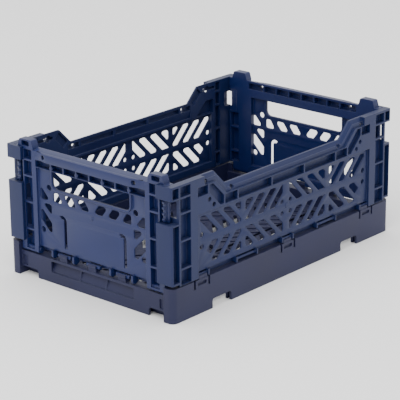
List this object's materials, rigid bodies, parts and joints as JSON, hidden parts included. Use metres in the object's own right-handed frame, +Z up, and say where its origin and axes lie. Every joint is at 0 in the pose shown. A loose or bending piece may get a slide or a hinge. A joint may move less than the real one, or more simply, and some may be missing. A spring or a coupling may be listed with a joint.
{
  "type": "folding storage crate",
  "caption": "Small stackable folding crate of moulded plastic: perforated long walls and hinged end walls with hand openings on a slotted base tray.",
  "frame": {"origin": "centre of the tray's underside, on the surface it stands on", "axes": "+X along the length, +Y along the width towards the rear long wall, +Z up"},
  "size_m": [0.266, 0.171, 0.111],
  "materials": {
    "tray_plastic": "fine-grained satin polypropylene, navy",
    "long_wall_plastic": "fine-grained satin polypropylene, navy",
    "end_wall_plastic": "fine-grained satin polypropylene, navy",
    "latch_plastic": "satin polypropylene, navy, ribbed pad"
  },
  "bodies": {
    "crate_body": {"base_tray": "tray_plastic", "long_wall_front": "long_wall_plastic", "long_wall_rear": "long_wall_plastic"},
    "end_left": {"end_wall_left": "end_wall_plastic"},
    "end_right": {"end_wall_right": "end_wall_plastic"},
    "tongue_left_front": {"latch_left_front": "latch_plastic"},
    "tongue_left_rear": {"latch_left_rear": "latch_plastic"},
    "tongue_right_front": {"latch_right_front": "latch_plastic"},
    "tongue_right_rear": {"latch_right_rear": "latch_plastic"}
  },
  "joints": [
    {"name": "fold_left", "type": "hinge", "parent": "crate_body", "child": "end_left", "pos_m": [-0.127, 0, 0.0235], "axis": [0, 1, 0], "range_deg": [0, 90]},
    {"name": "fold_right", "type": "hinge", "parent": "crate_body", "child": "end_right", "pos_m": [0.127, 0, 0.0235], "axis": [0, -1, 0], "range_deg": [0, 90]},
    {"name": "press_left_front", "type": "slide", "parent": "end_left", "child": "tongue_left_front", "axis": [0, 1, 0], "range_m": [0, 0.002], "stiffness_N_per_m": 600},
    {"name": "press_left_rear", "type": "slide", "parent": "end_left", "child": "tongue_left_rear", "axis": [0, -1, 0], "range_m": [0, 0.002], "stiffness_N_per_m": 600},
    {"name": "press_right_front", "type": "slide", "parent": "end_right", "child": "tongue_right_front", "axis": [0, 1, 0], "range_m": [0, 0.002], "stiffness_N_per_m": 600},
    {"name": "press_right_rear", "type": "slide", "parent": "end_right", "child": "tongue_right_rear", "axis": [0, -1, 0], "range_m": [0, 0.002], "stiffness_N_per_m": 600}
  ]
}
